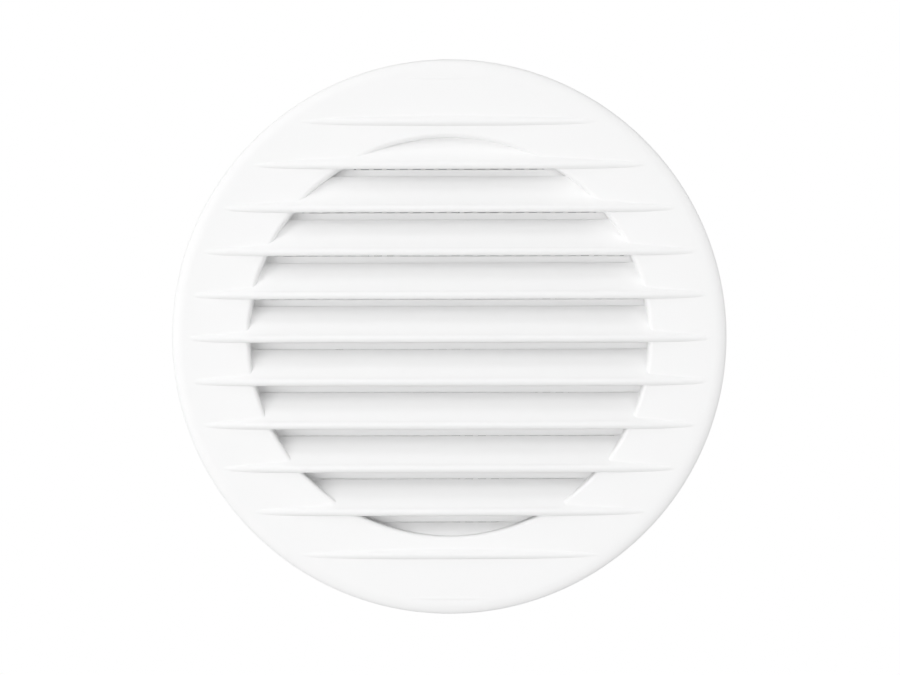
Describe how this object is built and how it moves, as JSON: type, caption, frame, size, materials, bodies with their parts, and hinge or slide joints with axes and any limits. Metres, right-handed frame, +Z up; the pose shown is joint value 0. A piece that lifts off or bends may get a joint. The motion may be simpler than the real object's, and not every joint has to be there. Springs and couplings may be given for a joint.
{
  "type": "in-duct bathroom extractor fan",
  "caption": "Axial extractor fan for a round duct, behind a domed round grille of fixed louvres, with a spring-shut backdraught shutter.",
  "frame": {"origin": "on the fan's axis, in the plane of the wall's face that the mounting flange lies on", "axes": "+Z up, +Y along the fan's axis into the wall and the duct, the grille faces -Y into the room"},
  "size_m": [0.128, 0.0988, 0.128],
  "materials": {
    "grille_plastic": "smooth white moulded ABS",
    "screen_plastic": "white moulded plastic",
    "housing_plastic": "white moulded ABS, fine matt texture",
    "motor_plastic": "dark grey glass-filled plastic",
    "impeller_plastic": "pale grey moulded plastic",
    "flap_plastic": "thin off-white moulded plastic",
    "terminal_plastic": "cream moulded plastic",
    "rubber": "black moulded rubber",
    "steel": "zinc-plated steel",
    "lamination_steel": "stacked electrical steel, varnished",
    "copper": "enamelled copper",
    "brass": "turned brass",
    "aluminium": "cast aluminium over steel",
    "brown_wire": "brown wire insulation",
    "blue_wire": "blue wire insulation"
  },
  "bodies": {
    "fan_body": {"front_grille": "grille_plastic", "guard_screen": "screen_plastic", "housing_tube": "housing_plastic", "duct_seal_ring": "rubber", "motor_cradle": "motor_plastic", "motor_cap": "motor_plastic", "stator_core": "lamination_steel", "thermal_cutout": "terminal_plastic", "front_bearing": "brass", "rear_bearing": "brass", "front_thrust_washer": "terminal_plastic", "rear_thrust_washer": "terminal_plastic", "terminal_block": "terminal_plastic", "terminal_cover": "motor_plastic", "terminal_cover_screw": "steel", "cable_clamp": "terminal_plastic", "clamp_screw_1": "steel", "clamp_screw_2": "steel", "cable_grommet": "rubber", "motor_lead_live": "brown_wire", "motor_lead_neutral": "blue_wire", "shutter_frame": "housing_plastic", "shutter_spindle": "steel", "motor_cap_screw_1": "steel", "motor_cap_screw_2": "steel", "motor_cap_screw_3": "steel", "pole_coil_1": "copper", "shading_ring_1": "copper", "terminal_screw_1": "brass", "pole_coil_2": "copper", "shading_ring_2": "copper", "terminal_screw_2": "brass", "pole_coil_3": "copper", "shading_ring_3": "copper", "terminal_screw_3": "brass", "pole_coil_4": "copper", "shading_ring_4": "copper", "terminal_screw_4": "brass"},
    "rotor": {"impeller": "impeller_plastic", "impeller_nut": "motor_plastic", "drive_pin": "steel", "rotor_core": "aluminium", "rotor_shaft": "steel"},
    "left_flap": {"flap_left": "flap_plastic", "flap_spring_left": "steel"},
    "right_flap": {"flap_right": "flap_plastic", "flap_spring_right": "steel"}
  },
  "joints": [
    {"name": "impeller_spin", "type": "hinge", "parent": "fan_body", "child": "rotor", "pos_m": [0, 0.04, 0], "axis": [0, 1, 0], "continuous": true},
    {"name": "left_flap_hinge", "type": "hinge", "parent": "fan_body", "child": "left_flap", "pos_m": [0, 0.0832, 0], "axis": [0, 0, -1], "range_deg": [0, 75], "stiffness_Nm_per_rad": 0.003, "springref_deg": -20.05},
    {"name": "right_flap_hinge", "type": "hinge", "parent": "fan_body", "child": "right_flap", "pos_m": [0, 0.0832, 0], "axis": [0, 0, 1], "range_deg": [0, 75], "stiffness_Nm_per_rad": 0.003, "springref_deg": -20.05}
  ]
}
